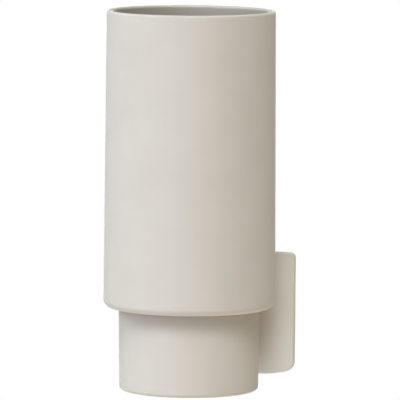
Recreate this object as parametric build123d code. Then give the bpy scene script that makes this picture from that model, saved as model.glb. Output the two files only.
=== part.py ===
from build123d import *
import math
import os

# Hanging wall vase: a stoneware vase with a spigot foot that drops into a
# stoneware cup, which a web joins to a plate screwed to the wall.
# Millimetres. +Z up, the wall is the plane Y = 0 with the room on the -Y side.
# The origin is midway between the two wall screws, on the wall.
# Heights below are measured from the underside of the cup.

# ---- driving dimensions -------------------------------------------------
SCREW_HEIGHT = 70.0        # wall screws above the underside of the cup
SCREW_SPACING = 50.0       # between the two wall screws

VASE_R_RIM = 53.9          # outside radius at the rim
VASE_R_SHOULDER = 55.0     # outside radius just above the shoulder
VASE_TOP = 243.3           # height of the rim
SHOULDER = 53.2            # height of the shoulder's underside
SHOULDER_FILLET = 4.5
VASE_WALL = 4.4            # wall of the upper cylinder
SHOULDER_FLOOR = 5.0
LIP_FILLET = 2.1
SPIGOT_R = 39.4            # foot of the vase that stands in the cup
SPIGOT_WALL = 4.4
SPIGOT_BOTTOM = 9.0
SPIGOT_FLOOR = 5.0

CUP_R_TOP = 45.2
CUP_R_BOTTOM = 44.5
CUP_TOP = 52.5
CUP_BORE_R = 40.0          # 0.6 mm round the spigot
CUP_FLOOR = 6.0
CUP_BOTTOM_FILLET = 2.6
FOOT_RECESS_R = 36.0
FOOT_RECESS_DEPTH = 2.0

RING_R_IN = 40.9           # soft ring between the cup's rim and the shoulder
RING_R_OUT = 43.9
RING_BOTTOM = 52.6
RING_TOP = 53.1

PLATE_T = 5.0
PLATE_HALF_W = 55.4
PLATE_TOP = 83.8
PLATE_BOTTOM = 3.6
PLATE_TOP_CORNER = 3.6
PLATE_LOW_CORNER = 7.0     # tight part of the lower corners
PLATE_LOW_SWEEP_R = 75.0   # long part of the lower corners
PLATE_LOW_SWEEP_DEG = 14.0
PLATE_FRONT_EDGE = 1.3
PLATE_BACK_EDGE = 0.6
PLATE_HOLE_R = 3.25

VASE_GAP = 2.0             # from the plate's front to the back of the vase
AXIS_Y = -(PLATE_T + VASE_GAP + VASE_R_SHOULDER)

NECK_HALF_W = 21.0         # at the plate
NECK_WAIST = 17.5
NECK_BOTTOM = 12.0
NECK_TOP = 46.0
NECK_EDGE = 2.0

PAD_W, PAD_H, PAD_T = 24.0, 14.0, 1.4
PAD_HEIGHT = 72.0

WASHER_R, WASHER_HOLE_R, WASHER_T = 5.0, 2.2, 1.0
HEAD_R, HEAD_H = 4.0, 2.6
SHANK_R, THREAD_R = 1.75, 2.0
THREAD_L, TIP_L, TIP_R = 28.0, 5.0, 0.3
RECESS_L, RECESS_W, RECESS_D = 4.2, 0.9, 1.5

Z0 = -SCREW_HEIGHT         # underside of the cup in the part's frame


# ---- helpers ------------------------------------------------------------
def rounded(points, radii):
    """A closed (r, z) outline with the corner at each key of radii rounded."""
    face = make_face(Polyline(*points, close=True))
    for i, r in radii.items():
        x, y = points[i]
        corner = [
            v for v in face.vertices() if math.hypot(v.X - x, v.Y - y) < 1e-4
        ]
        face = fillet(corner, r)
    return face


def turned(points, radii):
    """The outline turned about the vertical axis."""
    face = Plane.XZ * rounded(points, radii)
    return revolve(face, Axis.Z)


def on_vase_axis(shape):
    return Pos(0, AXIS_Y, Z0) * shape


def solid_of(shape):
    solids = shape.solids()
    assert len(solids) == 1, len(solids)
    return solids[0]


# ---- vase ---------------------------------------------------------------
inner_rim = VASE_R_RIM - VASE_WALL
inner_low = VASE_R_SHOULDER - VASE_WALL - 0.2
vase_points = [
    (0, SPIGOT_BOTTOM),
    (SPIGOT_R, SPIGOT_BOTTOM),
    (SPIGOT_R, SHOULDER),
    (VASE_R_SHOULDER, SHOULDER),
    (VASE_R_RIM, VASE_TOP),
    (inner_rim, VASE_TOP),
    (inner_low, SHOULDER + SHOULDER_FLOOR),
    (SPIGOT_R - SPIGOT_WALL, SHOULDER + SHOULDER_FLOOR),
    (SPIGOT_R - SPIGOT_WALL, SPIGOT_BOTTOM + SPIGOT_FLOOR),
    (0, SPIGOT_BOTTOM + SPIGOT_FLOOR),
]
vase_body = on_vase_axis(
    turned(
        vase_points,
        {1: 3.0, 2: 0.8, 3: SHOULDER_FILLET, 4: LIP_FILLET, 5: LIP_FILLET, 6: 5.0, 7: 3.5, 8: 5.0},
    )
)

# ---- holder: cup, web and plate ------------------------------------------
cup_points = [
    (0, FOOT_RECESS_DEPTH),
    (FOOT_RECESS_R, FOOT_RECESS_DEPTH),
    (FOOT_RECESS_R + 0.6, 0),
    (CUP_R_BOTTOM, 0),
    (CUP_R_TOP, CUP_TOP),
    (CUP_BORE_R, CUP_TOP),
    (CUP_BORE_R, CUP_FLOOR),
    (0, CUP_FLOOR),
]
holder_cup = on_vase_axis(
    turned(cup_points, {1: 1.0, 2: 0.8, 3: CUP_BOTTOM_FILLET, 4: 0.9, 5: 1.2, 6: 3.0})
)

cup_outside = on_vase_axis(
    turned(
        [(0, -5), (CUP_R_BOTTOM - 5 * (CUP_R_TOP - CUP_R_BOTTOM) / CUP_TOP, -5), (CUP_R_TOP, CUP_TOP), (0, CUP_TOP)],
        {},
    )
)
front = -PLATE_T
depth = -26.0              # inside the cup's wall, cut away below
right = ThreePointArc((NECK_HALF_W, front), (NECK_WAIST, front - 6.5), (NECK_HALF_W - 1.0, front - 14.5))
left = ThreePointArc((-NECK_HALF_W, front), (-NECK_WAIST, front - 6.5), (-NECK_HALF_W + 1.0, front - 14.5))
neck_section = make_face(
    [
        right,
        Line((NECK_HALF_W - 1.0, front - 14.5), (NECK_HALF_W - 1.0, depth)),
        Line((NECK_HALF_W - 1.0, depth), (-NECK_HALF_W + 1.0, depth)),
        Line((-NECK_HALF_W + 1.0, depth), (-NECK_HALF_W + 1.0, front - 14.5)),
        left,
        Line((-NECK_HALF_W, front), (NECK_HALF_W, front)),
    ]
)
neck_block = Pos(0, 0, Z0 + NECK_BOTTOM) * extrude(neck_section, amount=NECK_TOP - NECK_BOTTOM, dir=(0, 0, 1))
side_arcs = [
    e
    for e in neck_block.edges()
    if e.geom_type == GeomType.CIRCLE and abs(e.tangent_at(0.5).Z) < 0.1
]
neck_block = fillet(side_arcs, NECK_EDGE)
cup_neck = solid_of(neck_block - cup_outside)

a = math.radians(PLATE_LOW_SWEEP_DEG)
span = PLATE_LOW_SWEEP_R - PLATE_LOW_CORNER
x0 = PLATE_HALF_W - PLATE_LOW_CORNER - span * math.sin(a)
join = (x0 + PLATE_LOW_SWEEP_R * math.sin(a), PLATE_BOTTOM + PLATE_LOW_SWEEP_R * (1 - math.cos(a)))
half = (x0 + PLATE_LOW_SWEEP_R * math.sin(a / 2), PLATE_BOTTOM + PLATE_LOW_SWEEP_R * (1 - math.cos(a / 2)))
centre = (PLATE_HALF_W - PLATE_LOW_CORNER, PLATE_BOTTOM + PLATE_LOW_SWEEP_R - span * math.cos(a))
b = (a + math.pi / 2) / 2
mid = (centre[0] + PLATE_LOW_CORNER * math.sin(b), centre[1] - PLATE_LOW_CORNER * math.cos(b))
side = (PLATE_HALF_W, centre[1])
top_c = PLATE_TOP_CORNER
tc = (PLATE_HALF_W - top_c, PLATE_TOP - top_c)
top_mid = (tc[0] + top_c * math.sqrt(0.5), tc[1] + top_c * math.sqrt(0.5))


def flip(p):
    return (-p[0], p[1])


plate_outline = make_face(
    [
        Line((-x0, PLATE_BOTTOM), (x0, PLATE_BOTTOM)),
        ThreePointArc((x0, PLATE_BOTTOM), half, join),
        ThreePointArc(join, mid, side),
        Line(side, (PLATE_HALF_W, tc[1])),
        ThreePointArc((PLATE_HALF_W, tc[1]), top_mid, (tc[0], PLATE_TOP)),
        Line((tc[0], PLATE_TOP), (-tc[0], PLATE_TOP)),
        ThreePointArc((-tc[0], PLATE_TOP), flip(top_mid), (-PLATE_HALF_W, tc[1])),
        Line((-PLATE_HALF_W, tc[1]), flip(side)),
        ThreePointArc(flip(side), flip(mid), flip(join)),
        ThreePointArc(flip(join), flip(half), (-x0, PLATE_BOTTOM)),
    ]
)
wall_plate = Pos(0, 0, Z0) * extrude(Plane.XZ * plate_outline, amount=PLATE_T, dir=(0, -1, 0))
wall_plate = fillet(wall_plate.faces().sort_by(Axis.Y)[0].edges(), PLATE_FRONT_EDGE)
wall_plate = fillet(wall_plate.faces().sort_by(Axis.Y)[-1].edges(), PLATE_BACK_EDGE)
screw_xs = (-SCREW_SPACING / 2, SCREW_SPACING / 2)
for x in screw_xs:
    wall_plate -= Pos(x, -PLATE_T / 2, 0) * Rot(90, 0, 0) * Cylinder(PLATE_HOLE_R, PLATE_T * 2)

# ---- soft pieces ----------------------------------------------------------
seat_ring = on_vase_axis(
    turned(
        [(RING_R_IN, RING_BOTTOM), (RING_R_OUT, RING_BOTTOM), (RING_R_OUT, RING_TOP), (RING_R_IN, RING_TOP)],
        {0: 0.2, 1: 0.2, 2: 0.2, 3: 0.2},
    )
)

pad = extrude(Plane.XZ * RectangleRounded(PAD_W, PAD_H, 4.0), amount=PAD_T, dir=(0, -1, 0))
pad = fillet(pad.faces().sort_by(Axis.Y)[0].edges(), 0.4)
rest_pad = Pos(0, -PLATE_T, Z0 + PAD_HEIGHT) * pad

# ---- fixings ---------------------------------------------------------------
washer = turned(
    [(WASHER_HOLE_R, 0), (WASHER_R, 0), (WASHER_R, WASHER_T), (WASHER_HOLE_R, WASHER_T)],
    {1: 0.2, 2: 0.2},
)
washer = Rot(90, 0, 0) * washer      # lies on the plate, thickness towards the room
screw_washers = Compound(children=[solid_of(Pos(x, -PLATE_T, 0) * washer) for x in screw_xs])

seat = -PLATE_T - WASHER_T
screw = turned(
    [
        (0, seat - HEAD_H),
        (HEAD_R, seat - HEAD_H),
        (HEAD_R, seat),
        (SHANK_R, seat),
        (SHANK_R, 0),
        (THREAD_R, 0),
        (THREAD_R, THREAD_L),
        (TIP_R, THREAD_L + TIP_L),
        (0, THREAD_L + TIP_L),
    ],
    {1: 1.5, 2: 0.2},
)
for turn in (0, 90):
    screw -= Pos(0, 0, seat - HEAD_H + RECESS_D / 2) * Rot(0, 0, turn) * Box(RECESS_L, RECESS_W, RECESS_D)
screw = Rot(-90, 0, 0) * screw       # point into the wall
wall_screws = Compound(children=[solid_of(Pos(x, 0, 0) * screw) for x in screw_xs])

# ---- files -----------------------------------------------------------------
nodes = {
    "vase_body": solid_of(vase_body),
    "holder_cup": solid_of(holder_cup),
    "cup_neck": cup_neck,
    "wall_plate": solid_of(wall_plate),
    "seat_ring": solid_of(seat_ring),
    "rest_pad": solid_of(rest_pad),
    "wall_screws": wall_screws,
    "screw_washers": screw_washers,
}
os.makedirs("parts", exist_ok=True)
for name, shape in nodes.items():
    shape.label = name
    export_step(shape, os.path.join("parts", name + ".step"))
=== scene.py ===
import math

import bmesh
import bpy
from mathutils import Matrix, Vector


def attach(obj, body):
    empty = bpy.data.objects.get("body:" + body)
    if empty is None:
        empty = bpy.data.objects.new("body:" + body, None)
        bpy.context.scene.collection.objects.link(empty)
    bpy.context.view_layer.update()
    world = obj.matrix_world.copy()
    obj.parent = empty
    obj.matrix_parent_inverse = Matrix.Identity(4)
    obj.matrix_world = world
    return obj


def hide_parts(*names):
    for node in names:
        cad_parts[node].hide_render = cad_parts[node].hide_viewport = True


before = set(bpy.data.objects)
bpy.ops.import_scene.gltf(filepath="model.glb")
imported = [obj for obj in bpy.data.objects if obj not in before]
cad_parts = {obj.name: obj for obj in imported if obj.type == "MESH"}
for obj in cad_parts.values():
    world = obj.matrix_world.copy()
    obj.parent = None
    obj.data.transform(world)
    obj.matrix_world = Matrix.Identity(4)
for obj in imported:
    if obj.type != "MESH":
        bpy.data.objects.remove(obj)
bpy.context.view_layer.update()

# Hanging wall vase. Sizes in millimetres as in the CAD model, scaled to metres
# when a mesh is made. Heights are above the underside of the cup.
MM = 0.001
AXIS_Y = -62.0
BASE_Z = -70.0
TAU = 2 * math.pi

scene = bpy.context.scene


# ------------------------------------------------------------------ meshes
def link(name, mesh):
    obj = bpy.data.objects.new(name, mesh)
    scene.collection.objects.link(obj)
    return obj


def arc(cx, cz, r, a0, a1, n):
    """n + 1 points of an arc, angles in degrees from +r towards +z."""
    return [
        (
            cx + r * math.cos(math.radians(a0 + (a1 - a0) * i / n)),
            cz + r * math.sin(math.radians(a0 + (a1 - a0) * i / n)),
        )
        for i in range(n + 1)
    ]


def run(p, q, n):
    """n points from p towards q, without p and with q."""
    return [
        (p[0] + (q[0] - p[0]) * i / n, p[1] + (q[1] - p[1]) * i / n)
        for i in range(1, n + 1)
    ]


class Profile:
    """A turned outline: points with a material index, an edge weight and a cover of glaze each (over the lip partly
    painted shade).
    """

    def __init__(self):
        self.pts, self.mat, self.edge, self.cover = [], [], [], []

    def add(self, pts, mat=0, edge=0.0, cover=(0.0, 0.0)):
        """edge peaks in the middle of the points, cover goes from its first to its second value."""
        n = len(pts)
        for i, p in enumerate(pts):
            if self.pts and math.dist(self.pts[-1], p) < 1e-6:
                continue
            self.pts.append(p)
            self.mat.append(mat)
            self.edge.append(edge * math.sin(math.pi * (i + 0.5) / n) if edge else 0.0)
            self.cover.append(cover[0] + (cover[1] - cover[0]) * i / max(1, n - 1))
        return self


def lathe(name, profile, seg, axis=(0.0, AXIS_Y), base=BASE_Z, wobble=None, closed=False):
    """Turns a profile about the vertical axis; a point on the axis becomes a pole."""
    bm = bmesh.new()
    wear_and_painted_light = bm.verts.layers.float.new("edge_wear_and_painted_light")
    glaze_and_lip_shade = bm.verts.layers.float.new("glaze_cover_and_lip_shade")
    rings = []
    for (r, z), w, g in zip(profile.pts, profile.edge, profile.cover):
        if r < 1e-6:
            v = bm.verts.new((axis[0] * MM, axis[1] * MM, (base + z) * MM))
            v[wear_and_painted_light], v[glaze_and_lip_shade] = w, g
            rings.append([v])
            continue
        ring = []
        for i in range(seg):
            t = TAU * i / seg
            rr, dz = r, 0.0
            if wobble:
                dr, dz = wobble(t, r, z)
                rr += dr
            v = bm.verts.new(
                (
                    (axis[0] + rr * math.cos(t)) * MM,
                    (axis[1] + rr * math.sin(t)) * MM,
                    (base + z + dz) * MM,
                )
            )
            v[wear_and_painted_light], v[glaze_and_lip_shade] = w, g
            ring.append(v)
        rings.append(ring)
    pairs = list(zip(range(len(rings)), range(1, len(rings))))
    if closed:
        pairs.append((len(rings) - 1, 0))
    for a, b in pairs:
        ra, rb = rings[a], rings[b]
        for i in range(seg):
            j = (i + 1) % seg
            if len(ra) == 1:
                f = bm.faces.new((ra[0], rb[j], rb[i]))
            elif len(rb) == 1:
                f = bm.faces.new((ra[i], ra[j], rb[0]))
            else:
                f = bm.faces.new((ra[i], ra[j], rb[j], rb[i]))
            f.material_index = profile.mat[b]
            f.smooth = True
    bmesh.ops.recalc_face_normals(bm, faces=bm.faces)
    mesh = bpy.data.meshes.new(name)
    bm.to_mesh(mesh)
    bm.free()
    return link(name, mesh)


def hand(t, r, z):
    """Slight unevenness of a turned and sponged stoneware wall, in mm."""
    k = min(1.0, r / 40.0)
    dr = 0.045 * math.sin(2 * t + 0.9 + z / 83.0)
    dr += 0.030 * math.sin(3 * t - 1.7 + z / 57.0)
    dr += 0.012 * math.sin(z / 4.1 + 0.8 * math.sin(t + z / 40.0))
    dz = 0.035 * math.sin(2 * t + 2.2) + 0.025 * math.sin(3 * t + 0.4) - 0.06
    return dr * k, dz * k * min(1.0, z / 30.0)


def flat_shape(name, splines, thickness, bevel, to_frame, resolution=5):
    """A flat piece with rounded edges: closed outlines already set in by the bevel, holes opened by it."""
    curve = bpy.data.curves.new(name + "_outline", "CURVE")
    curve.dimensions = "2D"
    curve.fill_mode = "BOTH"
    curve.extrude = (thickness / 2 - bevel) * MM
    curve.bevel_depth = bevel * MM
    curve.bevel_resolution = resolution
    for pts in splines:
        s = curve.splines.new("POLY")
        s.points.add(len(pts) - 1)
        for p, (x, y) in zip(s.points, pts):
            p.co = (x * MM, y * MM, 0, 1)
        s.use_cyclic_u = True
    tmp = link(name + "_tmp", curve)
    bpy.context.view_layer.update()
    mesh = bpy.data.meshes.new_from_object(tmp.evaluated_get(bpy.context.evaluated_depsgraph_get()))
    bpy.data.objects.remove(tmp)
    bpy.data.curves.remove(curve)
    mesh.name = name
    mesh.transform(to_frame)
    bm = bmesh.new()
    bm.from_mesh(mesh)
    bmesh.ops.remove_doubles(bm, verts=bm.verts, dist=1e-6)
    bmesh.ops.recalc_face_normals(bm, faces=bm.faces)
    for f in bm.faces:
        f.smooth = True
    bm.to_mesh(mesh)
    bm.free()
    obj = link(name, mesh)
    wn = obj.modifiers.new("flat faces stay flat", "WEIGHTED_NORMAL")
    wn.mode = "FACE_AREA"
    wn.weight = 100
    return obj


def circle(cx, cy, r, n, clockwise=False):
    s = -1 if clockwise else 1
    return [(cx + r * math.cos(s * TAU * i / n), cy + r * math.sin(s * TAU * i / n)) for i in range(n)]


# the plane of the plate: local x is +X, local y is +Z, local z is -Y (to the room)
def wall_frame(y_mid, z_base=BASE_Z):
    return Matrix(
        (
            (1, 0, 0, 0),
            (0, 0, -1, y_mid * MM),
            (0, 1, 0, z_base * MM),
            (0, 0, 0, 1),
        )
    )


# ---- vase
OUT, IN, RAW = 0, 1, 2
vp = Profile()
vp.add([(0, 9.45), (12, 9.42), (24, 9.3), (31, 9.12), (34.2, 9.02), (36.0, 9.0)], RAW)
vp.add(arc(36.4, 12.0, 3.0, -90, -40, 4), RAW)
vp.add(arc(36.4, 12.0, 3.0, -40, 0, 4), OUT)
vp.add(run((39.4, 12.0), (39.4, 52.4), 22), OUT)
vp.add(arc(40.2, 52.4, 0.8, 180, 90, 4), OUT)
vp.add(run((40.2, 53.2), (50.0, 53.2), 8), OUT)
vp.add(arc(50.0, 58.18, 4.98, -90, -72, 5), OUT)
# the paler tone on this fillet is partly a sponged edge and partly painted light from below
vp.add(arc(50.0, 58.18, 4.98, -72, 0, 16), OUT, 1.2)
vp.add(run((54.98, 58.18), (53.91, 241.7), 84), OUT)
# the inside glaze comes thinly over the lip and is full a few millimetres down; over the lip's top this grey is also
# painted shade that dims the lip
vp.add(arc(52.31, 241.7, 1.6, 0, 84, 14), OUT, cover=(0.0, 0.26))
vp.add(run((52.477, 243.291), (51.05, 243.26), 4), OUT, cover=(0.25, 0.22))
vp.add(arc(51.0, 241.76, 1.5, 84, 96, 2), OUT, cover=(0.22, 0.24))
vp.add(arc(51.0, 241.76, 1.5, 96, 180, 12), IN, cover=(0.26, 0.88))
vp.add(run((49.5, 241.76), (49.512, 239.3), 4), IN, cover=(0.92, 1.0))
full = (1.0, 1.0)
vp.add(run((49.512, 239.3), (50.4, 63.2), 60), IN, cover=full)
vp.add(arc(45.4, 63.2, 5.0, 0, -90, 10), IN, cover=full)
vp.add(run((45.4, 58.2), (38.5, 58.2), 4), IN, cover=full)
vp.add(arc(38.5, 54.7, 3.5, 90, 180, 9), IN, cover=full)
vp.add(run((35.0, 54.7), (35.0, 19.0), 16), IN, cover=full)
vp.add(arc(30.0, 19.0, 5.0, 0, -90, 10), IN, cover=full)
vp.add(run((30.0, 14.0), (0, 14.0), 8), IN, cover=full)
vase = lathe("vase", vp, 240, wobble=hand)

# ---- cup
cp = Profile()
cp.add([(0, 2.0), (12, 2.0), (24, 2.0), (34.9, 2.0)], OUT)
cp.add(arc(34.9, 1.0, 1.0, 90, 17, 5), OUT)
cp.add(arc(37.3, 0.8, 0.8, 197, 270, 5), RAW)
cp.add(run((37.3, 0.0), (41.9, 0.0), 5), RAW)
cp.add(arc(41.9, 2.6, 2.6, -90, -62, 4), RAW)
cp.add(arc(41.9, 2.6, 2.6, -62, 0, 9), OUT, 0.9)
cp.add(run((44.52, 2.6), (45.18, 51.6), 30), OUT)
cp.add(arc(44.28, 51.6, 0.9, 0, 90, 8), OUT, 0.6)
cp.add(run((44.28, 52.5), (41.2, 52.5), 3), OUT)
cp.add(arc(41.2, 51.3, 1.2, 90, 180, 7), OUT, 0.6)
cp.add(run((40.0, 51.3), (40.0, 9.0), 20), OUT)
cp.add(arc(37.0, 9.0, 3.0, 0, -90, 7), OUT)
cp.add(run((37.0, 6.0), (0, 6.0), 8), OUT)
cup = lathe("cup", cp, 224, wobble=hand)


# ---- web between cup and plate, thumbed in at both ends
def cup_back(x, z):
    """Where the back of the cup is, in y."""
    return AXIS_Y + math.sqrt((44.5 + 0.7 * z / 52.0) ** 2 - x**2)


def make_neck():
    n_sec, n_len = 96, 22
    mid_z, length = 29.0, 12.5
    bm = bmesh.new()
    rings = []
    for k in range(n_len + 1):
        s = 0.5 - 0.5 * math.cos(math.pi * k / n_len)
        d0, d1 = s * length, (1 - s) * length
        flare = math.exp(-((d0 / 2.3) ** 2)) + 0.85 * math.exp(-((d1 / 2.3) ** 2))
        w, h = 17.3 + 3.6 * flare, 14.4 + 2.5 * flare
        ring = []
        for i in range(n_sec):
            t = TAU * i / n_sec
            c, q = math.cos(t), math.sin(t)
            x = w * math.copysign(abs(c) ** (2 / 4.5), c)
            z = mid_z + h * math.copysign(abs(q) ** (2 / 4.5), q)
            y_plate = -4.85
            y = y_plate + (cup_back(x, z) - 0.25 - y_plate) * s
            ring.append(bm.verts.new((x * MM, y * MM, (BASE_Z + z) * MM)))
        rings.append(ring)
    for a, b in zip(rings, rings[1:]):
        for i in range(n_sec):
            f = bm.faces.new((a[i], a[(i + 1) % n_sec], b[(i + 1) % n_sec], b[i]))
            f.smooth = True
    # closed ends, inside the plate and the cup's wall
    for ring, on_cup in ((rings[0], False), (rings[-1], True)):
        outer = ring
        for k in (0.72, 0.44, 0.18):
            inner = []
            for v in ring:
                x = v.co.x / MM * k
                z = mid_z + (v.co.z / MM - BASE_Z - mid_z) * k
                y = cup_back(x, z) - 0.25 if on_cup else -4.85
                inner.append(bm.verts.new((x * MM, y * MM, (BASE_Z + z) * MM)))
            for i in range(n_sec):
                j = (i + 1) % n_sec
                bm.faces.new((outer[i], outer[j], inner[j], inner[i]))
            outer = inner
        y = cup_back(0, mid_z) - 0.25 if on_cup else -4.85
        mid = bm.verts.new((0, y * MM, (BASE_Z + mid_z) * MM))
        for i in range(n_sec):
            bm.faces.new((outer[i], outer[(i + 1) % n_sec], mid))
    bmesh.ops.recalc_face_normals(bm, faces=bm.faces)
    mesh = bpy.data.meshes.new("neck")
    bm.to_mesh(mesh)
    bm.free()
    return link("neck", mesh)


neck = make_neck()


# ---- plate
def plate_outline(b):
    """The plate's outline set in by b: straight top, long soft sweep into the lower corners."""
    half_w, top, bottom = 55.4, 83.8, 3.6
    r_top, r_low, r_sweep, a = 3.6, 7.0, 75.0, math.radians(14.0)
    span = r_sweep - r_low
    x0 = half_w - r_low - span * math.sin(a)
    cx, cz = half_w - r_low, bottom + r_sweep - span * math.cos(a)
    deg = math.degrees(a)
    right = run((0, bottom + b), (x0, bottom + b), 10)
    right += arc(x0, bottom + r_sweep, r_sweep - b, -90, -90 + deg, 12)[1:]
    right += arc(cx, cz, r_low - b, -90 + deg, 0, 20)[1:]
    right += run((half_w - b, cz), (half_w - b, top - r_top), 24)
    right += arc(half_w - r_top, top - r_top, r_top - b, 0, 90, 14)[1:]
    right += run((half_w - r_top, top - b), (0, top - b), 16)
    left = [(-x, z) for x, z in reversed(right[:-1])]
    # hand-finished edge: never quite straight
    out = []
    for x, z in right + left:
        d = 0.10 * math.sin(z / 13.0 + 0.6) + 0.06 * math.sin(x / 9.0 + z / 21.0)
        k = 0.10 * math.sin(x / 17.0 + 1.1) + 0.05 * math.sin(x / 6.5)
        out.append((x - abs(d) * math.copysign(1, x), z - abs(k) * (1 if z > 40 else -1)))
    return out


PLATE_BEVEL = 1.25
plate = flat_shape(
    "plate",
    [plate_outline(PLATE_BEVEL)]
    + [circle(x, 70.0, 3.25 + PLATE_BEVEL * 0.999, 64, True) for x in (-25.0, 25.0)],
    5.0,
    PLATE_BEVEL,
    wall_frame(-2.5),
    7,
)

# ---- soft ring and pad
rp = Profile()
rp.add(arc(41.1, 52.8, 0.2, 180, 270, 5))
rp.add(arc(43.7, 52.8, 0.2, 270, 360, 5))
rp.add(arc(43.7, 52.84, 0.2, 0, 90, 5))
rp.add(arc(41.1, 52.84, 0.2, 90, 180, 5))
ring = lathe("ring", rp, 192, closed=True)


def pad_outline(w, h, r, b):
    pts = []
    for cx, cz, a0 in ((w / 2 - r, -h / 2 + r, -90), (w / 2 - r, h / 2 - r, 0), (-w / 2 + r, h / 2 - r, 90), (-w / 2 + r, -h / 2 + r, 180)):
        pts += arc(cx, cz, r - b, a0, a0 + 90, 12)
    return pts


pad = flat_shape("back_pad", [pad_outline(24.0, 14.0, 4.0, 0.5)], 1.4, 0.5, wall_frame(-5.7, 2.0), 5)

# ---- fixings
SCREW_X = (-25.0, 25.0)


def make_washers():
    p = Profile()
    p.add(arc(2.45, 0.25, 0.25, 180, 270, 4))
    p.add(arc(4.75, 0.25, 0.25, 270, 360, 4))
    p.add(arc(4.75, 0.75, 0.25, 0, 90, 4))
    p.add(arc(2.45, 0.75, 0.25, 90, 180, 4))
    obj = lathe("washers", p, 72, axis=(0, 0), base=0, closed=True)
    mesh = obj.data
    # turned about Z, laid against the plate: +Z becomes -Y
    mesh.transform(Matrix.Rotation(math.radians(90), 4, "X"))
    bm = bmesh.new()
    for x in SCREW_X:
        before = len(bm.verts)
        bm.from_mesh(mesh)
        bm.verts.ensure_lookup_table()
        bmesh.ops.translate(bm, verts=bm.verts[before:], vec=(x * MM, -5.0 * MM, 0))
    bm.to_mesh(mesh)
    bm.free()
    return obj


washers = make_washers()


def make_screw(name, x_mm, turn):
    """A pan-head screw with a cross recess and a rolled thread, pointing along +Y."""
    seg, step = 40, 0.13
    bm = bmesh.new()
    rings = []
    pitch, root, crest = 1.8, 1.38, 2.0
    y = -6.5
    while y <= 33.0 + 1e-9:
        ring = []
        tip = 1.0 if y < 26.0 else max(0.03, 1.0 - ((y - 26.0) / 7.0) ** 1.25)
        grow = max(0.0, min(1.0, (y - 0.2) / 1.8))
        for i in range(seg):
            t = TAU * i / seg
            if grow <= 0:
                r = 1.75
            else:
                ph = (y / pitch - i / seg) % 1.0
                ridge = max(0.0, 1.0 - abs(ph - 0.5) / 0.24)
                r = (1.75 + (root - 1.75) * grow) + (crest - root) * ridge * grow
                r *= tip
            ring.append(bm.verts.new((r * math.cos(t) * MM, y * MM, r * math.sin(t) * MM)))
        rings.append(ring)
        y += step
    for a, b in zip(rings, rings[1:]):
        for i in range(seg):
            f = bm.faces.new((a[i], a[(i + 1) % seg], b[(i + 1) % seg], b[i]))
            f.smooth = True
    bm.faces.new(rings[0])
    bm.faces.new(rings[-1])
    bmesh.ops.recalc_face_normals(bm, faces=bm.faces)
    shank = bpy.data.meshes.new(name)
    bm.to_mesh(shank)
    bm.free()
    # head: turned about Z with its top at +Z, then laid to face the room (-Y)
    p = Profile()
    p.add([(0, 0.0), (1.6, 0.0), (3.75, 0.0)])
    p.add(arc(3.75, 0.25, 0.25, -90, 0, 4))
    p.add(run((4.0, 0.25), (4.0, 0.9), 2))
    p.add(arc(2.45, 0.9, 1.55, 0, 78, 10))
    p.add(run((2.77, 2.416), (1.4, 2.56), 3))
    p.add([(0, 2.6)])
    head = lathe(name + "_head", p, 72, axis=(0, 0), base=0)
    cutter_bm = bmesh.new()
    w, l, d = 0.5, 2.15, 1.55
    low, high = 2.6 - d, 3.2
    plus = [(l, -w), (l, w), (w, w), (w, l), (-w, l), (-w, w), (-l, w), (-l, -w), (-w, -w), (-w, -l), (w, -l), (w, -w)]
    lower = [cutter_bm.verts.new((x * 0.6 * MM, z * 0.6 * MM, low * MM)) for x, z in plus]
    upper = [cutter_bm.verts.new((x * 1.08 * MM, z * 1.08 * MM, high * MM)) for x, z in plus]
    n = len(plus)
    for i in range(n):
        cutter_bm.faces.new((lower[i], lower[(i + 1) % n], upper[(i + 1) % n], upper[i]))
    cutter_bm.faces.new(list(reversed(lower)))
    cutter_bm.faces.new(upper)
    bmesh.ops.recalc_face_normals(cutter_bm, faces=cutter_bm.faces)
    cutter_mesh = bpy.data.meshes.new(name + "_cut")
    cutter_bm.to_mesh(cutter_mesh)
    cutter_bm.free()
    cutter = link(name + "_cut", cutter_mesh)
    mod = head.modifiers.new("recess", "BOOLEAN")
    mod.operation, mod.solver, mod.object = "DIFFERENCE", "EXACT", cutter
    bpy.context.view_layer.update()
    cut = bpy.data.meshes.new_from_object(head.evaluated_get(bpy.context.evaluated_depsgraph_get()))
    bpy.data.objects.remove(head)
    bpy.data.objects.remove(cutter)
    cut.transform(Matrix.Rotation(math.radians(turn), 4, "Z"))
    cut.transform(Matrix.Translation((0, -6.0 * MM, 0)) @ Matrix.Rotation(math.radians(90), 4, "X"))
    bm = bmesh.new()
    bm.from_mesh(shank)
    bm.from_mesh(cut)
    bmesh.ops.translate(bm, verts=bm.verts, vec=(x_mm * MM, 0, 0))
    bm.to_mesh(shank)
    bm.free()
    shank.set_sharp_from_angle(angle=math.radians(42))
    return link(name, shank)


screws = [make_screw("screw_left", -25.0, 12.0), make_screw("screw_right", 25.0, -31.0)]


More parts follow.
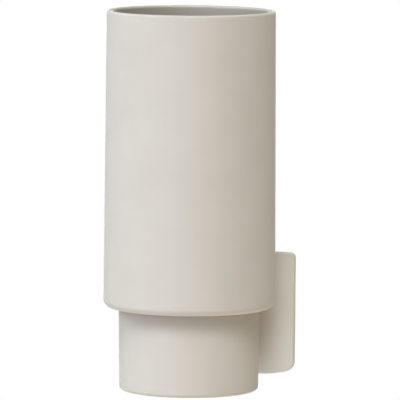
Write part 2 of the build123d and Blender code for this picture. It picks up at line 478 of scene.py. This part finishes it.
# ------------------------------------------------------------------ materials
class Nodes:
    def __init__(self, name):
        self.mat = bpy.data.materials.new(name)
        self.mat.use_nodes = True
        self.tree = self.mat.node_tree
        self.tree.nodes.clear()
        self.out = self.new("ShaderNodeOutputMaterial")
        self.bsdf = self.new("ShaderNodeBsdfPrincipled")
        self.link(self.bsdf.outputs["BSDF"], self.out.inputs["Surface"])
        self.coord = self.new("ShaderNodeTexCoord")

    def new(self, kind, **props):
        node = self.tree.nodes.new(kind)
        for k, v in props.items():
            setattr(node, k, v)
        return node

    def link(self, a, b):
        self.tree.links.new(a, b)

    def noise(self, scale, detail=2.0, rough=0.5, stretch=None):
        n = self.new("ShaderNodeTexNoise")
        n.inputs["Scale"].default_value = scale
        n.inputs["Detail"].default_value = detail
        n.inputs["Roughness"].default_value = rough
        src = self.coord.outputs["Object"]
        if stretch:
            m = self.new("ShaderNodeMapping")
            m.inputs["Scale"].default_value = stretch
            self.link(src, m.inputs["Vector"])
            src = m.outputs["Vector"]
        self.link(src, n.inputs["Vector"])
        return n.outputs["Fac"]

    def ramp(self, fac, stops):
        r = self.new("ShaderNodeValToRGB")
        e = r.color_ramp.elements
        while len(e) < len(stops):
            e.new(0.5)
        for el, (pos, col) in zip(e, stops):
            el.position = pos
            el.color = (*col, 1) if len(col) == 3 else col
        self.link(fac, r.inputs["Fac"])
        return r.outputs["Color"]

    def span(self, fac, a0, a1, b0, b1):
        m = self.new("ShaderNodeMapRange")
        for i, v in zip(("From Min", "From Max", "To Min", "To Max"), (a0, a1, b0, b1)):
            m.inputs[i].default_value = v
        self.link(fac, m.inputs["Value"])
        return m.outputs["Result"]

    def mix(self, fac, a, b, blend="MIX"):
        m = self.new("ShaderNodeMix", data_type="RGBA", blend_type=blend)
        for sock, val in ((m.inputs["Factor"], fac), (m.inputs["A"], a), (m.inputs["B"], b)):
            self.put(sock, val)
        return m.outputs["Result"]

    def put(self, sock, val):
        if hasattr(val, "is_linked"):
            self.link(val, sock)
        else:
            sock.default_value = val

    def bump(self, height, strength, distance, normal=None):
        b = self.new("ShaderNodeBump")
        b.inputs["Strength"].default_value = strength
        b.inputs["Distance"].default_value = distance
        self.link(height, b.inputs["Height"])
        if normal is not None:
            self.link(normal, b.inputs["Normal"])
        return b.outputs["Normal"]

    def attribute(self, name):
        a = self.new("ShaderNodeAttribute", attribute_name=name)
        return a.outputs["Fac"]

    def set(self, **values):
        for k, v in values.items():
            self.put(self.bsdf.inputs[k.replace("_", " ")], v)


STONE = (0.6395, 0.5940, 0.5290)
GLAZE = (0.4019, 0.3728, 0.3139)


def tone(c, k, warm=0.0):
    return (c[0] * k * (1 + warm), c[1] * k, c[2] * k * (1 - warm))


def stoneware(name, base, rough=(0.70, 0.86), grain=1.0, specks=1.0):
    """Matt stoneware: cloudy tone, fine sandy grain, faint turning marks, sparse fine specks."""
    n = Nodes(name)
    cloud = n.noise(38.0, 3.0, 0.55)
    colour = n.ramp(
        cloud,
        [(0.25, tone(base, 0.972, 0.006)), (0.5, base), (0.75, tone(base, 1.022, -0.004))],
    )
    fine = n.noise(1500.0, 2.0, 0.6)
    colour = n.mix(n.span(fine, 0.3, 0.7, 0.0, 0.055 * grain), colour, (*tone(base, 0.80, 0.01), 1))
    # sparse specks of iron, a third of a millimetre
    v = n.new("ShaderNodeTexVoronoi")
    v.inputs["Scale"].default_value = 420.0
    v.inputs["Randomness"].default_value = 1.0
    n.link(n.coord.outputs["Object"], v.inputs["Vector"])
    dot = n.span(v.outputs["Distance"], 0.07, 0.13, 1.0, 0.0)
    sep = n.new("ShaderNodeSeparateColor")
    n.link(v.outputs["Color"], sep.inputs["Color"])
    pick = n.span(sep.outputs["Red"], 0.86, 0.90, 0.0, 1.0)
    both = n.new("ShaderNodeMath", operation="MULTIPLY")
    n.link(dot, both.inputs[0])
    n.link(pick, both.inputs[1])
    speck = n.span(both.outputs[0], 0.0, 1.0, 0.0, 0.16 * specks)
    colour = n.mix(speck, colour, (*tone(base, 0.42, 0.04), 1))
    # edges are sponged a little paler, and the paler rounded edges are also painted light from below; the inside glaze
    # fades out over the lip
    edge = n.attribute("edge_wear_and_painted_light")
    colour = n.mix(n.span(edge, 0.0, 1.0, 0.0, 0.50), colour, (*tone(base, 1.13, -0.004), 1))
    # over the lip's top this glaze cover is partly a thin run of glaze and partly painted shade that dims the lip
    colour = n.mix(n.attribute("glaze_cover_and_lip_shade"), colour, (*GLAZE, 1))
    n.set(Base_Color=colour)
    mid = n.noise(420.0, 3.0, 0.6)
    n.set(Roughness=n.span(mid, 0.25, 0.75, rough[0], rough[1]))
    n.bsdf.inputs["Specular IOR Level"].default_value = 0.32
    # unglazed clay scatters light back, so it stays even towards its sides
    n.bsdf.inputs["Diffuse Roughness"].default_value = 0.4
    turned = n.noise(1.0, 2.0, 0.5, (14.0, 14.0, 620.0))
    nrm = n.bump(turned, 0.10 * grain, 0.00022)
    nrm = n.bump(mid, 0.16 * grain, 0.00020, nrm)
    nrm = n.bump(fine, 0.22 * grain, 0.00008, nrm)
    n.set(Normal=nrm)
    return n.mat


def glaze(name, base):
    """Satin glaze inside the vase: smooth, with small pits and a slow pooling of tone."""
    n = Nodes(name)
    pool = n.noise(26.0, 2.0, 0.5)
    colour = n.ramp(pool, [(0.3, tone(base, 0.95, 0.01)), (0.7, tone(base, 1.03))])
    n.set(Base_Color=n.mix(n.attribute("glaze_cover_and_lip_shade"), (*tone(STONE, 0.98), 1), colour))
    mid = n.noise(300.0, 2.0, 0.5)
    n.set(Roughness=n.span(mid, 0.3, 0.7, 0.42, 0.56))
    n.bsdf.inputs["Specular IOR Level"].default_value = 0.55
    pits = n.noise(900.0, 1.0, 0.4)
    nrm = n.bump(n.noise(90.0, 2.0, 0.5), 0.15, 0.0004)
    nrm = n.bump(n.span(pits, 0.70, 0.78, 1.0, 0.0), 0.12, 0.00006, nrm)
    n.set(Normal=nrm)
    return n.mat


def silicone(name, base):
    n = Nodes(name)
    soft = n.noise(160.0, 2.0, 0.5)
    n.set(Base_Color=n.ramp(soft, [(0.3, tone(base, 0.95)), (0.7, tone(base, 1.04))]))
    n.set(Roughness=n.span(n.noise(700.0, 2.0, 0.5), 0.3, 0.7, 0.42, 0.58))
    n.bsdf.inputs["Subsurface Weight"].default_value = 0.25
    n.bsdf.inputs["Subsurface Radius"].default_value = (0.0016, 0.0014, 0.0012)
    n.bsdf.inputs["Subsurface Scale"].default_value = 1.0
    n.set(Normal=n.bump(n.noise(1400.0, 2.0, 0.5), 0.12, 0.00006))
    return n.mat


def zinc(name):
    n = Nodes(name)
    patch = n.noise(520.0, 3.0, 0.6)
    n.set(Base_Color=n.ramp(patch, [(0.3, (0.50, 0.51, 0.52)), (0.7, (0.66, 0.66, 0.65))]))
    n.set(Roughness=n.span(n.noise(900.0, 2.0, 0.5), 0.3, 0.7, 0.24, 0.42))
    n.bsdf.inputs["Metallic"].default_value = 1.0
    n.set(Normal=n.bump(n.noise(2600.0, 2.0, 0.6), 0.10, 0.00004))
    return n.mat


def nylon(name, base):
    n = Nodes(name)
    n.set(Base_Color=n.ramp(n.noise(300.0, 2.0, 0.5), [(0.3, tone(base, 0.96)), (0.7, tone(base, 1.03))]))
    n.set(Roughness=n.span(n.noise(1200.0, 2.0, 0.5), 0.3, 0.7, 0.36, 0.5))
    n.bsdf.inputs["Subsurface Weight"].default_value = 0.15
    n.bsdf.inputs["Subsurface Radius"].default_value = (0.001, 0.001, 0.0009)
    n.bsdf.inputs["Subsurface Scale"].default_value = 1.0
    n.set(Normal=n.bump(n.noise(1800.0, 2.0, 0.5), 0.10, 0.00005))
    return n.mat


m_vase = stoneware("stoneware_vase", STONE)
m_holder = stoneware("stoneware_holder", STONE)
# the plate's lighter, cooler tone is painted light: it stands in for the light that falls on the plate beside the vase
m_plate_painted_light = stoneware("stoneware_plate_painted_light", tone(STONE, 1.115, -0.018))
m_glaze = glaze("satin_glaze", GLAZE)
m_raw = stoneware("bare_clay", tone(STONE, 0.90, 0.02), (0.86, 0.96), 1.8, 1.6)
m_soft = silicone("silicone", (0.56, 0.545, 0.51))
m_zinc = zinc("zinc_plate")
m_nylon = nylon("nylon", (0.74, 0.73, 0.69))

for m in (m_vase, m_glaze, m_raw):
    vase.data.materials.append(m)
for m in (m_holder, m_holder, m_raw):
    cup.data.materials.append(m)
for m in (m_plate_painted_light, m_raw):
    plate.data.materials.append(m)
# fired lying on its back, so the back is bare clay
for poly in plate.data.polygons:
    poly.material_index = 1 if poly.normal.y > 0.8 else 0
for o, m in (
    (neck, m_holder),
    (ring, m_soft),
    (pad, m_soft),
    (washers, m_nylon),
    (screws[0], m_zinc),
    (screws[1], m_zinc),
):
    o.data.materials.clear()
    o.data.materials.append(m)

# ------------------------------------------------------------------ bodies
for obj, body, node, slot in (
    (vase, "vase", "vase_body", "stoneware_vase"),
    (ring, "ring", "seat_ring", "silicone"),
    (cup, "holder", "holder_cup", "stoneware_holder"),
    (neck, "holder", "cup_neck", "stoneware_holder"),
    (plate, "holder", "wall_plate", "stoneware_holder"),
    (pad, "holder", "rest_pad", "silicone"),
    (washers, "holder", "screw_washers", "nylon"),
    (screws[0], "holder", "wall_screws", "steel"),
    (screws[1], "holder", "wall_screws", "steel"),
):
    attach(obj, body)
    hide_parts(node)

# ------------------------------------------------------------------ camera
CAM_AZ, CAM_EL, CAM_ROLL = 14.483, 5.840, 0.00728
PX = 0.63916         # millimetres a pixel at the vase's axis
CAM_DIST = 5184.0    # in those pixels
az, el = math.radians(CAM_AZ), math.radians(CAM_EL)
back = Vector((math.sin(az) * math.cos(el), -math.cos(az) * math.cos(el), math.sin(el)))
right = Vector((math.cos(az), math.sin(az), 0))
aim = Vector((0, AXIS_Y, BASE_Z + 190.72 * PX)) * MM + right * (10.03 * PX * MM)
cam_data = bpy.data.cameras.new("camera")
cam_data.sensor_width = 36.0
cam_data.lens = CAM_DIST / 400 * 36
cam_data.clip_start, cam_data.clip_end = 0.05, 200
cam = bpy.data.objects.new("camera", cam_data)
scene.collection.objects.link(cam)
turn = Matrix((right, back.cross(right), back)).transposed().to_4x4()
cam.matrix_world = Matrix.Translation(aim + back * (CAM_DIST * PX * MM)) @ turn @ Matrix.Rotation(CAM_ROLL, 4, "Z")
scene.camera = cam

# ------------------------------------------------------------------ stage and light
floor_bm = bmesh.new()
bmesh.ops.create_grid(floor_bm, x_segments=8, y_segments=8, size=16.0)
floor_mesh = bpy.data.meshes.new("floor")
floor_bm.to_mesh(floor_mesh)
floor_bm.free()
floor = link("floor", floor_mesh)
floor.location = (0, 0, -3.45)
fm = Nodes("pale_floor")
fm.set(Base_Color=fm.ramp(fm.noise(1.2, 2.0, 0.5), [(0.3, (0.80, 0.80, 0.79)), (0.7, (0.83, 0.83, 0.82))]))
fm.set(Roughness=fm.span(fm.noise(14.0, 2.0, 0.5), 0.3, 0.7, 0.7, 0.85))
# evenly lit, far below, and without a bounce on the piece
fm.bsdf.inputs["Emission Color"].default_value = (1, 1, 0.99, 1)
fm.bsdf.inputs["Emission Strength"].default_value = 0.86
floor.visible_diffuse = floor.visible_glossy = False
floor.data.materials.append(fm.mat)

world = bpy.data.worlds.new("studio")
scene.world = world
world.use_nodes = True
wt = world.node_tree
wt.nodes.clear()
w_out = wt.nodes.new("ShaderNodeOutputWorld")
w_mix = wt.nodes.new("ShaderNodeMixShader")
w_path = wt.nodes.new("ShaderNodeLightPath")
w_light = wt.nodes.new("ShaderNodeBackground")
w_seen = wt.nodes.new("ShaderNodeBackground")
w_light.inputs["Color"].default_value = (1, 1, 1, 1)
w_light.inputs["Strength"].default_value = 0.127
w_seen.inputs["Color"].default_value = (1, 1, 1, 1)
w_seen.inputs["Strength"].default_value = 1.0
wt.links.new(w_path.outputs["Is Camera Ray"], w_mix.inputs["Fac"])
wt.links.new(w_light.outputs[0], w_mix.inputs[1])
wt.links.new(w_seen.outputs[0], w_mix.inputs[2])
wt.links.new(w_mix.outputs[0], w_out.inputs["Surface"])

# soft boxes: angle from the camera's side (negative is left), height angle, distance, size, power, colour
LIGHTS = [
    ("left_rim", -130.0, 12.0, 6.0, 3.5, 27.9, (1.000, 1.000, 1.000)),
    ("left_high", -80.0, 40.0, 6.0, 3.5, 64.0, (0.839, 0.962, 1.000)),
    ("side_left_36", -75.0, 36.0, 6.0, 1.5, 49.0, (0.815, 0.926, 1.000)),
    ("key_24", -60.0, 24.0, 6.0, 1.5, 45.6, (1.000, 0.970, 0.997)),
    ("key_48", -60.0, 48.0, 6.0, 1.5, 68.8, (0.698, 0.764, 1.000)),
    ("front_near_54", -10.0, 54.0, 6.0, 1.5, 126.0, (0.880, 0.924, 1.000)),
    ("front_36", 5.0, 36.0, 6.0, 1.5, 35.6, (1.000, 0.995, 0.909)),
    ("front_48", 5.0, 48.0, 6.0, 1.5, 67.0, (0.965, 1.000, 0.979)),
    ("front_60", 5.0, 60.0, 6.0, 1.5, 74.6, (0.959, 1.000, 0.986)),
    ("right_side", 110.0, 12.0, 6.0, 3.5, 30.9, (1.000, 1.000, 1.000)),
    ("near_under", -30.0, -35.0, 3.6, 2.1, 28.6, (0.784, 0.859, 1.000)),
    ("front_low", 0.0, -35.0, 3.6, 2.1, 16.5, (1.000, 0.977, 0.954)),
    ("right_under", 60.0, -35.0, 3.6, 2.1, 13.2, (1.000, 0.666, 0.124)),
    ("back_left", -165.0, -8.0, 6.0, 3.5, 37.1, (1.000, 1.000, 1.000)),
    ("back_right", 150.0, -8.0, 6.0, 3.5, 61.8, (1.000, 1.000, 1.000)),
    ("back_low", 180.0, -8.0, 6.0, 3.5, 185.5, (1.000, 1.000, 1.000)),
]
# low boxes that shine up from the floor: right of and before the vase, size, power, colour
BOUNCE = [
    ("bounce_left", -0.80, -0.06, 1.3, 8.37, (0.871, 0.961, 1.000)),
    ("bounce_mid", 0.00, -0.06, 1.3, 10.64, (1.000, 0.832, 0.695)),
]


def soft_box(name, size, power, colour, place, aim_dir):
    data = bpy.data.lights.new(name, "AREA")
    data.shape = "SQUARE"
    data.size = size
    data.energy = power
    data.color = colour
    lamp = bpy.data.objects.new(name, data)
    scene.collection.objects.link(lamp)
    lamp.location = place
    lamp.rotation_mode = "QUATERNION"
    lamp.rotation_quaternion = aim_dir.to_track_quat("-Z", "Y")
    lamp.visible_camera = False


for name, a_off, e_deg, dist, size, power, colour in LIGHTS:
    a, e = az + math.radians(a_off), math.radians(e_deg)
    d = Vector((math.sin(a) * math.cos(e), -math.cos(a) * math.cos(e), math.sin(e)))
    soft_box(name, size, power, colour, Vector((0, AXIS_Y * MM, 0.05)) + d * dist, -d)
for name, x, y, size, power, colour in BOUNCE:
    place = Vector((0, 0, -1.15)) + right * x - Vector((back.x, back.y, 0)) * y
    soft_box(name, size, power, colour, place, Vector((0, 0, 1)))

scene.view_settings.view_transform = "Standard"
scene.view_settings.look = "None"

# ------------------------------------------------------------------ update
bpy.context.view_layer.update()
